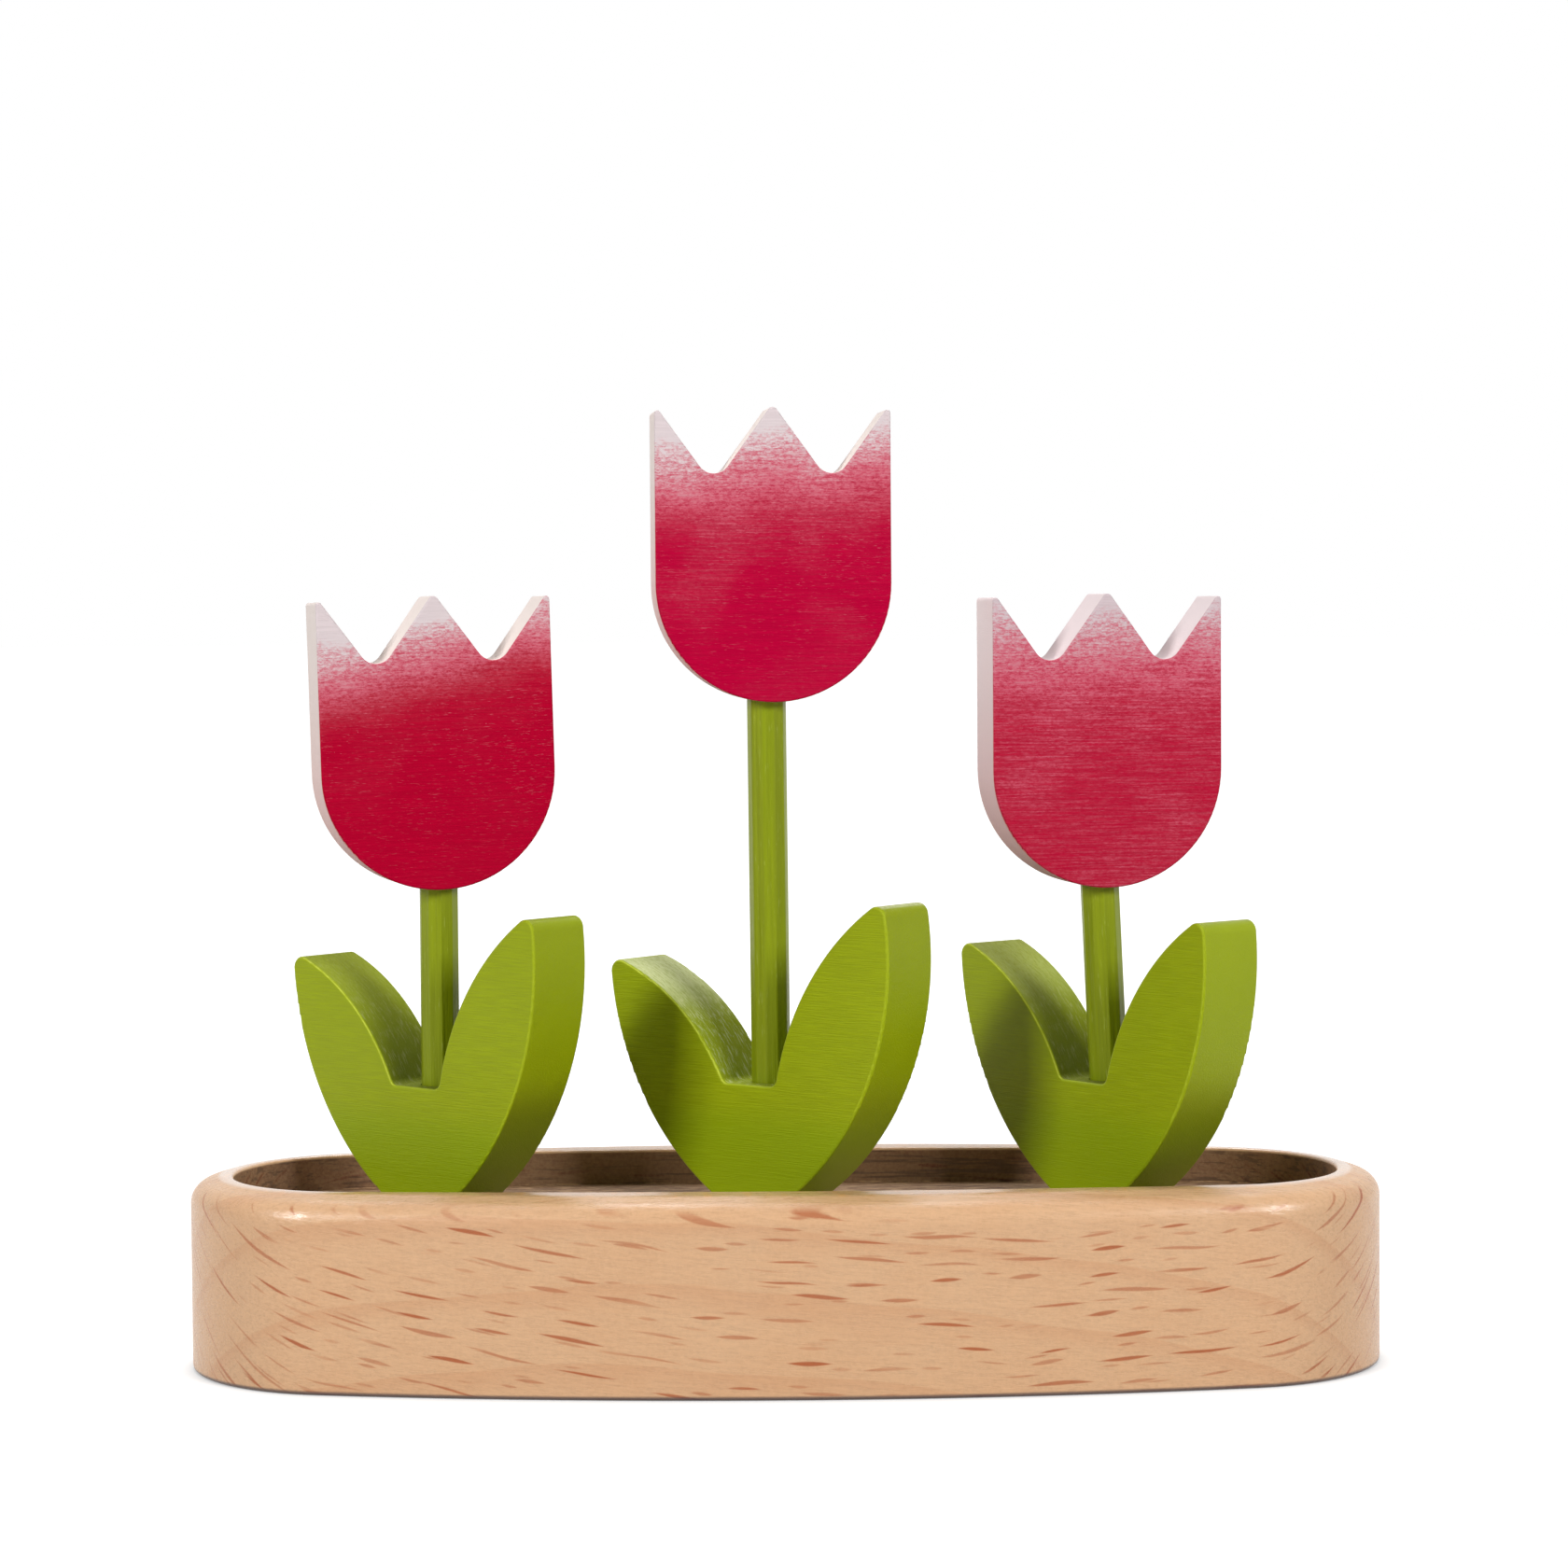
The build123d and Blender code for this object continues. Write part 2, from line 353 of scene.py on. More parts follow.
def ray_effect() -> Effect:
    """Makes the rays of beech: thin ribbons that show as flecks, long lines or flakes.

    The grain runs along the first axis, and the ribbons reach along the second one, so they read as
    short flecks on the sides, as long lines on the ends and as small flakes on the rounded rim.
    """
    cells = ("Cell Length", "Cell Depth", "Cell Height")
    effect = Effect("beech_rays", ("Tilt", *cells, "Longest", "Thickness", "Share", "Seed"), ("Ray",))
    waver_scale, waver_height, row_seed = 0.11, 0.9, 3.0
    row_shift, layer_shift, layer_seed = 7.0, 5.0, 17.0
    shortest, height_spread, most_lean, faintest = 0.2, 0.6, 0.08, 0.55
    painter, inside = effect.painter, effect.inside
    turned = painter.add("ShaderNodeVectorRotate", rotation_type="X_AXIS")
    painter.feed(turned.inputs["Vector"], inside["Vector"])
    painter.feed(turned.inputs["Angle"], painter.times(inside["Tilt"], -1.0))
    along, deep, aside = painter.split(turned.outputs[0])
    waver = painter.centred(painter.noise(turned.outputs[0], scale=waver_scale, detail=1.0))
    aside = painter.plus(aside, painter.times(waver, waver_height))

    row = painter.over(aside, inside["Cell Height"])
    row_number = painter.math("FLOOR", row)
    row_draw, _, _ = painter.draw(row_number, inside["Seed"], row_seed)
    column = painter.over(along, inside["Cell Length"])
    column = painter.plus(column, painter.times(row_draw, row_shift))
    column_number = painter.math("FLOOR", column)
    layer_draw, _, _ = painter.draw(column_number, row_number, inside["Seed"])
    layer = painter.over(deep, inside["Cell Depth"])
    layer = painter.plus(layer, painter.times(layer_draw, layer_shift))
    layer_number = painter.math("FLOOR", layer)
    seed_number = painter.plus(row_number, painter.times(layer_number, layer_seed))
    length_draw, height_draw, share_draw = painter.draw(column_number, seed_number, inside["Seed"])

    reach = painter.step(length_draw, 0.0, 1.0, shortest, inside["Longest"])
    reach = painter.times(reach, inside["Cell Length"])
    x = painter.times(painter.centred(painter.math("FRACT", column)), inside["Cell Length"])
    y = painter.centred(painter.math("FRACT", row))
    y = painter.minus(y, painter.times(painter.centred(height_draw), height_spread))
    y = painter.times(y, inside["Cell Height"])
    lean = painter.times(x, painter.times(painter.centred(length_draw), most_lean))
    y = painter.absolute(painter.plus(y, lean))
    out = painter.over(x, reach)
    belly = painter.rest(painter.times(out, out))
    thick = painter.plus(painter.times(height_draw, height_spread), height_spread)
    edge = painter.minus(painter.times(inside["Thickness"], thick, belly), y)
    span = painter.absolute(painter.centred(painter.math("FRACT", layer)))
    mask = painter.times(painter.step(edge, -0.03, 0.05), painter.fade(span, 0.4, 0.5))
    left_out = painter.rest(inside["Share"])
    there = painter.step(share_draw, left_out, 1.0, faintest, 1.0)
    there = painter.times(there, painter.math("GREATER_THAN", share_draw, left_out))
    painter.feed(effect.out["Ray"], painter.times(mask, there))
    return effect


@dataclass(frozen=True)
class Effects:
    """The node groups that the finishes share."""

    grain: Effect
    specks: Effect
    rays: Effect


@dataclass(frozen=True)
class Local:
    """Where a pattern's own frame stands on the object."""

    place: Triple = (0.0, 0.0, 0.0)
    turn: Triple = (0.0, 0.0, 0.0)

    def coordinates(self, painter: Painter) -> Socket:
        """Gives the place of a surface point in this frame, in millimetres."""
        source = painter.add("ShaderNodeTexCoord").outputs["Object"]
        node = painter.add("ShaderNodeMapping", vector_type="TEXTURE")
        painter.feed(node.inputs["Vector"], source)
        node.inputs["Location"].default_value = [number * MM for number in self.place]
        node.inputs["Rotation"].default_value = self.turn
        node.inputs["Scale"].default_value = (MM, MM, MM)
        return node.outputs[0]


@dataclass(frozen=True)
class Finish:
    """What every finish of the tulips has."""

    name: str
    local: Local
    colour: Colour
    roughness: float = 0.5
    specular: float = 0.3
    seed: float = 0.0

    def start(self) -> tuple[Material, Painter, Node]:
        """Makes an empty material with its shader.

        Returns:
            The material, its painter and its Principled shader.
        """
        material = bpy.data.materials.new(self.name)
        material.use_nodes = True
        painter = Painter(material.node_tree)
        shader = material.node_tree.nodes["Principled BSDF"]
        shader.inputs["Specular IOR Level"].default_value = self.specular
        shader.inputs["Roughness"].default_value = self.roughness
        return material, painter, shader

    def relief(self, painter: Painter, shader: Node, height: Socket, depth: float) -> None:
        """Raises the surface a little.

        Args:
            painter: Painter of the material's tree.
            shader: Its Principled shader.
            height: Level of the surface, from 0 to 1.
            depth: How deep the relief is, in millimetres.
        """
        bump = painter.add("ShaderNodeBump")
        bump.inputs["Strength"].default_value = 1.0
        bump.inputs["Distance"].default_value = depth * MM
        painter.feed(bump.inputs["Height"], height)
        painter.feed(shader.inputs["Normal"], bump.outputs[0])

    def material(self, effects: Effects) -> Material:
        """Builds the finish.

        Args:
            effects: The shared node groups.

        Returns:
            The material.
        """
        raise NotImplementedError(self.name)


@dataclass(frozen=True)
class GreenPaint(Finish):
    """Satin yellow-green paint on a leaf pair, through which a fine grain shows.

    The wear is the pale torn fibres inside the notch. The darkening low in the notch, on the lower outer
    side and at the foot is painted shade, and the bright arris line and the pale patch high in the notch
    are thinner and worn paint with a painted highlight. All lengths are in millimetres, and the heights
    are counted from the foot of the leaf pair.
    """

    roughness: float = 0.42
    specular: float = 0.5
    wear: float = 0.2
    # Share of painted shade low on the sawn faces inside the notch.
    notch_shade: float = 0.5
    # Share of the pale patch high on the sawn faces inside the notch: pale worn paint with a painted
    # highlight over it.
    painted_sheen: float = 0.1
    # Share of painted shade on the lower outer side of the leaf pair.
    under: float = 0.3
    half_thickness: float = 2.8
    arris: float = 0.2
    notch_height: float = 9.5
    notch_half_width: float = 2.5
    notch_span: Span = (-0.9, -0.4)
    # Where the bright arris line runs: thinner paint on the arris, with a painted highlight along it.
    line_start: Span = (0.1, 0.07)
    line_end: Span = (0.035, 0.01)
    short_slope: float = 0.94
    tall_slope: float = 1.44
    # Painted shade: below this span the foot of the leaf pair turns darker and greener, where the tray's rim
    # hides the floor's reflection.
    foot_shade_span: Span = (5.6, 8.8)
    # Heights over which that painted shade fades out.
    under_shade_span: Span = (7.2, 11.6)
    torn_scale: Triple = (1.6, 5.5, 1.3)
    relief_depth: float = 0.06
    saw_relief: float = 0.8
    grain_relief: float = 0.2
    inner_roughness: float = 0.4
    grain_roughness: float = 0.04
    scratch_colour: Colour = (180, 190, 70)
    dust_colour: Colour = (200, 206, 130)
    chip_colour: Colour = (90, 96, 30)
    # Colour of the painted shade at the foot.
    foot_shade_colour: Colour = (133, 155, 0)
    edge_paint_and_highlight_colour: Colour = (206, 216, 84)
    # Colour of that pale patch: worn paint with a painted highlight.
    painted_sheen_colour: Colour = (206, 212, 168)
    torn_colour: Colour = (206, 210, 160)

    def paint_outside(self, painter: Painter, effects: Effects, vector: Socket, lines: Outputs) -> Socket:
        """Paints what all faces have: the grain under the paint, scratches, dust and chips."""
        colour = painter.streak(lines["Streak"], self.colour, 0.9, 1.08)
        colour = painter.lay(colour, self.colour, lines["Cloud"], 0.25, level=0.8)
        colour = painter.lay(colour, self.scratch_colour, lines["Scratch"], 0.12)
        dust = effects.specks.place(painter, Vector=vector, Spacing=2.2, Size=0.07, Share=0.25)
        colour = painter.lay(colour, self.dust_colour, dust["Speck"], 0.5)
        chips = effects.specks.place(painter, Vector=vector, Spacing=3.1, Size=0.09, Share=0.12)
        return painter.lay(colour, self.chip_colour, chips["Speck"], 0.5)

    def paint_inside(
        self, painter: Painter, colour: Socket, inner: Socket, torn: Socket, up: Socket
    ) -> Socket:
        """Paints the notch's sawn faces: painted shade below, a painted highlight above, torn all over."""
        notch = self.notch_height
        # Painted shade, strongest low inside the notch.
        dim = painter.step(up, notch + 1.0, notch + 9.0, self.notch_shade, self.notch_shade * 0.25)
        colour = painter.lay(colour, self.colour, inner, dim, level=0.4)
        # Pale worn paint with a painted highlight, high on the sawn faces and broken up by the torn fibres.
        high = painter.step(up, notch + 4.0, notch + 8.0)
        bright = painter.step(torn, 0.3, 0.7, self.painted_sheen * 0.7, self.painted_sheen)
        colour = painter.lay(colour, self.painted_sheen_colour, painter.times(inner, high), bright)
        pale = painter.times(inner, painter.step(torn, 0.5, 0.66), painter.step(high, 0.0, 1.0, 1.0, 0.3))
        colour = painter.lay(colour, self.torn_colour, pale, self.wear)
        dark = painter.times(inner, painter.step(torn, 0.5, 0.34))
        return painter.lay(colour, self.colour, dark, 0.35, level=0.55)

    def material(self, effects: Effects) -> Material:
        """Builds the painted finish of a leaf pair."""
        material, painter, shader = self.start()
        shader.inputs["Specular Tint"].default_value = (1.0, 1.0, 0.25, 1.0)
        vector = self.local.coordinates(painter)
        lines = effects.grain.place(painter, Vector=vector, Length=3.0, Width=0.09, Seed=self.seed)
        across, through, up = painter.split(vector)
        depth, apart = painter.absolute(through), painter.absolute(across)
        face = self.half_thickness
        side = painter.fade(depth, face - self.arris, face - self.arris * 0.5)
        slope = painter.step(across, -0.5, 0.5, self.short_slope, self.tall_slope)
        chord = painter.times(painter.minus(apart, self.notch_half_width), slope)
        above = painter.minus(painter.minus(up, self.notch_height), chord)
        inner = painter.times(side, painter.step(above, *self.notch_span))
        line = painter.step(depth, *[face - below for below in self.line_start])
        line = painter.times(line, painter.fade(depth, *[face - below for below in self.line_end]))
        nicks = painter.step(painter.noise(vector, scale=1.4), 0.35, 0.6, 0.35, 1.0)
        line = painter.times(line, nicks)
        torn = painter.stretch((across, through, painter.minus(up, apart)), self.torn_scale)
        torn = painter.noise(torn, detail=4.0, roughness=0.75)

        colour = self.paint_outside(painter, effects, vector, lines)
        # Painted shade at the foot, where the rim hides the reflection of the floor.
        colour = painter.mix(painter.fade(up, *self.foot_shade_span, 0.9), colour, linear(self.foot_shade_colour))
        # Painted shade on the lower outer side, where the neighbours and the tray shade it.
        under = painter.times(side, painter.step(across, 0.0, 0.5))
        under = painter.times(under, painter.fade(up, *self.under_shade_span, self.under))
        colour = painter.lay(colour, self.colour, under, painter.rest(inner), level=0.25)
        # Bright arris line of thin paint and a painted highlight, strongest on the left edges where the light
        # falls.
        shown = painter.step(across, -2.6, -2.0, 0.6, 0.12)
        colour = painter.lay(colour, self.edge_paint_and_highlight_colour, line, shown)
        colour = self.paint_inside(painter, colour, inner, torn, up)
        painter.feed(shader.inputs["Base Color"], colour)
        saw = painter.times(torn, painter.times(inner, self.saw_relief))
        grain = painter.times(lines["Streak"], self.grain_relief)
        self.relief(painter, shader, painter.plus(saw, grain), self.relief_depth)
        smooth, rough = self.roughness - self.grain_roughness, self.roughness + self.grain_roughness
        rough = painter.step(lines["Streak"], 0.0, 1.0, smooth, rough)
        rough = painter.plus(rough, painter.times(inner, self.inner_roughness))
        painter.feed(shader.inputs["Roughness"], rough)
        return material


@dataclass(frozen=True)
class StemPaint(Finish):
    """Satin green paint on a dowel, with marks along it."""

    roughness: float = 0.42
    specular: float = 0.5
    relief_depth: float = 0.02
    scratch_colour: Colour = (178, 190, 100)
    dust_colour: Colour = (190, 200, 120)

    def material(self, effects: Effects) -> Material:
        """Builds the painted finish of a stem."""
        material, painter, shader = self.start()
        shader.inputs["Specular Tint"].default_value = (1.0, 1.0, 0.3, 1.0)
        along, across, up = painter.split(self.local.coordinates(painter))
        vector = painter.join(up, along, across)
        lines = effects.grain.place(painter, Vector=vector, Length=9.0, Width=0.3, Seed=self.seed)
        colour = painter.streak(lines["Streak"], self.colour, 0.9, 1.07)
        colour = painter.lay(colour, self.scratch_colour, lines["Scratch"], 0.3)
        dust = effects.specks.place(painter, Vector=vector, Spacing=1.4, Size=0.08, Share=0.2)
        colour = painter.lay(colour, self.dust_colour, dust["Speck"], 0.5)
        painter.feed(shader.inputs["Base Color"], colour)
        self.relief(painter, shader, lines["Streak"], self.relief_depth)
        return material


@dataclass(frozen=True)
class CrimsonPaint(Finish):
    """Crimson sprayed on the faces over a pale ground, fading to the tips.

    The pale share grows with the cube of the height between fade_start and fade_end, the slope
    tips the mist to one side, and the loss is how much grain stays bare below it.
    """

    roughness: float = 0.6
    specular: float = 0.02
    ground: Colour = (218, 204, 206)
    side: Colour = (238, 226, 220)
    flush: Colour = (214, 150, 146)
    thin: Colour = (200, 0, 70)
    side_scratch: Colour = (206, 170, 160)
    arris_colour: Colour = (224, 92, 52)
    fade_start: float = 12.0
    fade_end: float = 20.7
    fade_power: float = 3.0
    slope: float = -0.1
    loss: float = 0.1
    evenness: float = 0.2
    half_thickness: float = 2.5
    face_span: Span = (0.12, 0.06)
    arris_span: Span = (0.2, 0.12)
    mist_scale: Triple = (3.0, 3.0, 8.0)
    streak_size: Triple = (4.5, 2.0, 0.125)
    relief_depth: float = 0.012

    def bare_share(self, painter: Painter, effects: Effects, vector: Socket, lines: Outputs) -> Socket:
        """Gives the share of the ground that the spray leaves bare, from 0 to 1."""
        across, through, up = painter.split(vector)
        mist = painter.stretch((across, through, up), self.mist_scale)
        mist = painter.step(painter.noise(mist, detail=3.0, roughness=0.8), 0.36, 0.66)
        uneven = painter.times(painter.centred(lines["Cloud"]), 0.9)
        height = painter.plus(up, painter.times(across, self.slope), uneven)
        share = painter.over(painter.minus(height, self.fade_start), self.fade_end - self.fade_start)
        share = painter.math("POWER", painter.math("MAXIMUM", share, 0.0), self.fade_power)
        grainy = painter.plus(painter.times(mist, 1.1), painter.times(lines["Streak"], 0.4))
        grainy = painter.times(share, painter.plus(grainy, 0.25))
        even = painter.step(share, 0.5, 1.4)
        bare = painter.plus(painter.times(grainy, painter.rest(even)), painter.times(share, even))

        lengths = zip((across, through, up), self.streak_size)
        streaks = painter.join(*[painter.over(part, length) for part, length in lengths])
        streaks = painter.step(painter.noise(streaks, detail=3.0, roughness=0.7), 0.42, 0.68, 0.25, 1.0)
        patch = painter.noise(vector, scale=0.16, detail=1.0)
        patch = painter.step(patch, 0.4, 0.6, self.evenness, 2.0 - self.evenness)
        rising = painter.step(up, 3.0, 14.0, self.evenness, 1.0)
        streaks = painter.times(streaks, painter.plus(mist, 0.4), self.loss, patch, rising)
        dust = effects.specks.place(painter, Vector=vector, Spacing=0.9, Size=0.075, Share=0.4)
        scratches, dots = painter.times(lines["Scratch"], 0.13), painter.times(dust["Speck"], 0.22)
        worn = painter.math("MAXIMUM", scratches, dots)
        worn = painter.times(worn, painter.step(up, 1.0, 16.0, 0.4, 1.0))
        return painter.math("ADD", painter.plus(bare, streaks), worn, clamp=True)

    def material(self, effects: Effects) -> Material:
        """Builds the sprayed finish of a flower head."""
        material, painter, shader = self.start()
        vector = self.local.coordinates(painter)
        _, through, up = painter.split(vector)
        lines = effects.grain.place(painter, Vector=vector, Length=3.5, Width=0.11, Seed=self.seed)
        bare = self.bare_share(painter, effects, vector, lines)
        depth = painter.absolute(through)
        face = painter.step(depth, *[self.half_thickness - below for below in self.face_span])
        crimson = painter.streak(lines["Streak"], self.colour, 0.93, 1.05)
        ground = painter.streak(lines["Streak"], self.ground, 0.95, 1.02)
        crimson = painter.mix(painter.step(bare, 0.02, 0.22), crimson, linear(self.thin))
        front = painter.mix(bare, crimson, ground)
        low = painter.fade(up, 0.0, self.fade_end)
        side = painter.lay(linear(self.side), self.flush, low, 0.55)
        side = painter.lay(side, self.side_scratch, lines["Scratch"], 0.2)
        arris = painter.step(depth, *[self.half_thickness - below for below in self.arris_span])
        side = painter.lay(side, self.arris_colour, arris, painter.times(low, 0.5))
        painter.feed(shader.inputs["Base Color"], painter.mix(face, side, front))
        self.relief(painter, shader, lines["Streak"], self.relief_depth)
        return material


# How strong the rays of each size are, and what their node group takes.
RAY_LAYERS: tuple[tuple[float, dict[str, float]], ...] = (
    (1.0, dict(Cell_Length=5.8, Cell_Height=1.15, Longest=0.46, Thickness=0.11, Share=0.88, Seed=1.0)),
    (0.6, dict(Cell_Length=3.3, Cell_Height=0.9, Longest=0.42, Thickness=0.08, Share=0.55, Seed=9.0)),
)


@dataclass(frozen=True)
class BareBeech(Finish):
    """Bare sanded beech, with its rays, its growth rings and its fine pores."""

    ray_colour: Colour = (170, 92, 48)
    cloud_colour: Colour = (206, 156, 112)
    ring_colour: Colour = (196, 138, 96)
    rise: float = 0.07
    rings_per_mm: float = 0.17
    ray_tilt: float = math.radians(45)
    ray_depth: float = 11.0
    ray_top: float = 14.2
    ray_fade: float = 0.5
    relief_depth: float = 0.01

    def wood(self, effects: Effects, painter: Painter) -> tuple[Socket, Socket, Socket]:
        """Paints the wood itself.

        Args:
            effects: The shared node groups.
            painter: Painter of the material's tree.

        Returns:
            The colour, the streaks of the grain and the place on the object in millimetres.
        """
        place = self.local.coordinates(painter)
        along, across, up = painter.split(place)
        level = painter.plus(up, painter.times(along, self.rise))
        vector = painter.join(along, across, level)
        lines = effects.grain.place(painter, Vector=vector, Length=2.2, Width=0.22, Seed=self.seed)
        colour = painter.streak(lines["Streak"], self.colour, 0.95, 1.04)
        colour = painter.lay(colour, self.cloud_colour, lines["Cloud"], 0.3)
        stipple = painter.step(painter.noise(vector, scale=3.0, detail=3.0, roughness=0.75), *DOT_SPAN)
        colour = painter.lay(colour, self.colour, stipple, 0.45, level=1.14)
        ring = painter.times(painter.plus(across, level), self.rings_per_mm)
        wander = painter.noise(painter.join(painter.times(along, 0.03), ring, 0.0))
        ring = painter.math("FRACT", painter.plus(ring, wander))
        late = painter.times(painter.step(ring, 0.62, 0.97), painter.fade(ring, 0.97, 1.0))
        colour = painter.lay(colour, self.ring_colour, late, 0.3)
        colour = painter.lay(colour, self.colour, lines["Scratch"], 0.07, level=0.72)
        for strength, values in RAY_LAYERS:
            values = dict(values, Tilt=self.ray_tilt, Cell_Depth=self.ray_depth)
            ray = effects.rays.place(painter, Vector=vector, **values)
            shown = painter.step(up, self.ray_top - self.ray_fade, self.ray_top, strength, 0.15)
            colour = painter.lay(colour, self.ray_colour, ray["Ray"], shown)
        return colour, lines["Streak"], place

    def finish(
        self, painter: Painter, shader: Node, colour: Socket, streak: Socket, rougher: Value = 0.0
    ) -> None:
        """Joins the colour and the grain to the shader.

        Args:
            painter: Painter of the material's tree.
            shader: Its Principled shader.
            colour: Colour of the wood.
            streak: The streaks of the grain, from 0 to 1.
            rougher: What is added to the roughness.
        """
        painter.feed(shader.inputs["Base Color"], colour)
        self.relief(painter, shader, streak, self.relief_depth)
        rough = painter.step(streak, 0.0, 1.0, self.roughness - 0.04, self.roughness + 0.06)
        painter.feed(shader.inputs["Roughness"], painter.plus(rough, rougher))

    def material(self, effects: Effects) -> Material:
        """Builds the bare wood."""
        material, painter, shader = self.start()
        colour, streak, _ = self.wood(effects, painter)
        self.finish(painter, shader, colour, streak)
        return material


@dataclass(frozen=True)
class TrayBeech(BareBeech):
    """The tray's beech, with painted shade in the recess and a painted contact shadow along the bottom edge.

    All lengths are in millimetres, and the heights are counted from the base of the tray.
    """

    roughness: float = 0.3
    specular: float = 0.5
    end_middle: float = 32.35
    recess_radius: float = 10.0
    recess_bow: float = 1.5
    recess_floor: float = 12.0
    recess_edge: Span = (0.25, 0.4)
    recess_roughness: float = 0.35
    tray_height: float = 14.75
    coat_roughness: float = 0.2
    coat_ior: float = 1.8
    coat_span: Span = (24.0, 38.0)
    # Heights over which the painted contact shadow along the bottom edge fades out.
    foot_shade_span: Span = (0.2, 0.45)
    dark_scale: Triple = (0.13, 1.2, 3.0)
    glint_scale: Triple = (0.5, 2.2, 0.0)
    pore_scale: Triple = (0.9, 0.25, 0.0)
    # Multiplied over the recess as painted shade.
    recess_shade_colour: Colour = (150, 140, 132)
    dot_colour: Colour = (168, 134, 98)
    dark_colour: Colour = (62, 42, 28)
    glint_colour: Colour = (206, 168, 130)
    pore_colour: Colour = (226, 164, 104)
    # Colour of that painted contact shadow.
    foot_shade_colour: Colour = (88, 72, 72)

    def recess_mask(self, painter: Painter, along: Socket, across: Socket, up: Socket) -> Socket:
        """Gives the mask of the recess, which has round ends and bowed sides."""
        past = painter.minus(painter.absolute(along), self.end_middle)
        past = painter.math("MAXIMUM", past, 0.0)
        squares = painter.plus(painter.times(past, past), painter.times(across, across))
        out = painter.over(along, self.end_middle)
        bow = painter.math("MAXIMUM", painter.rest(painter.times(out, out)), 0.0)
        reach = painter.plus(painter.times(bow, self.recess_bow), self.recess_radius)
        away = painter.minus(painter.math("SQRT", squares), reach)
        below_rim = painter.fade(up, self.tray_height - 0.3, self.tray_height - 0.12)
        return painter.times(painter.fade(away, *self.recess_edge), below_rim)

    def recess_paint(self, painter: Painter, colour: Socket, place: Socket) -> Socket:
        """Paints the recess wood darker as painted shade, with dots, dark streaks and glints on its floor."""
        parts = painter.split(place)
        dark = painter.noise(painter.stretch(parts, self.dark_scale), detail=3.0, roughness=0.65)
        dots = painter.noise(place, scale=3.6, detail=3.0, roughness=0.7)
        glint = painter.noise(painter.stretch(parts, self.glint_scale), detail=3.0, roughness=0.7)
        flat = painter.fade(parts[2], self.recess_floor + 0.02, self.recess_floor + 0.1)
        # Painted shade over the whole recess.
        colour = painter.mix(1.0, colour, linear(self.recess_shade_colour), "MULTIPLY")
        colour = painter.lay(colour, self.dot_colour, painter.step(dots, *DOT_SPAN), 0.3)
        colour = painter.lay(colour, self.dark_colour, painter.step(dark, 0.52, 0.62), 0.55)
        shine = painter.times(flat, painter.step(glint, 0.46, 0.6))
        return painter.lay(colour, self.glint_colour, shine, 0.55)

    def material(self, effects: Effects) -> Material:
        """Builds the tray's wood."""
        material, painter, shader = self.start()
        shader.inputs["Coat Roughness"].default_value = self.coat_roughness
        shader.inputs["Coat IOR"].default_value = self.coat_ior
        colour, streak, place = self.wood(effects, painter)
        along, across, up = painter.split(place)
        inside = self.recess_mask(painter, along, across, up)
        colour = painter.mix(inside, colour, self.recess_paint(painter, colour, place))
        rim = painter.step(up, self.tray_height - 0.15, self.tray_height - 0.02)
        pores = painter.noise(painter.stretch((along, across, up), self.pore_scale))
        pores = painter.times(painter.step(pores, 0.52, 0.7), 0.55)
        colour = painter.lay(colour, self.pore_colour, rim, pores)
        ends = painter.step(painter.absolute(along), *self.coat_span, 0.3, 1.0)
        painter.feed(shader.inputs["Coat Weight"], painter.times(rim, ends))
        # Painted contact shadow along the bottom edge.
        colour = painter.lay(colour, self.foot_shade_colour, painter.fade(up, *self.foot_shade_span), 0.85)
        rougher = painter.times(inside, self.recess_roughness)
        self.finish(painter, shader, colour, streak, rougher)
        return material


class Side(Enum):
    """Which of the three tulips is meant."""

    LEFT = "left"
    CENTRE = "centre"
    RIGHT = "right"


# Per leaf pair: the pale wear of the torn fibres, the painted shade low in the notch, the pale patch of worn
# paint with a painted highlight high in the notch, and the painted shade on the lower outer side.
LEAVES: dict[Side, dict[str, float]] = {
    Side.LEFT: {"wear": 0.25, "notch_shade": 0.9, "painted_sheen": 0.04, "under": 0.55},
    Side.CENTRE: {"wear": 0.75, "notch_shade": 0.2, "painted_sheen": 0.8, "under": 0.2},
    Side.RIGHT: {"wear": 0.2, "notch_shade": 1.0, "painted_sheen": 0.2, "under": 0.4},
}

HEADS: dict[Side, dict[str, object]] = {
    Side.LEFT: {"colour": (176, 0, 43), "slope": -0.19, "fade_start": 12.4, "fade_end": 20.7, "loss": 0.01},
    Side.CENTRE: {"colour": (181, 0, 53), "slope": -0.09, "fade_start": 11.3, "fade_end": 20.6, "loss": 0.05},
    Side.RIGHT: {
        "colour": (178, 0, 48),
        "ground": (207, 190, 194),
        "side": (234, 220, 221),
        "flush": (188, 116, 116),
        "slope": -0.03,
        "fade_start": 11.0,
        "fade_end": 21.7,
        "loss": 0.14,
        "evenness": 0.75,
    },
}


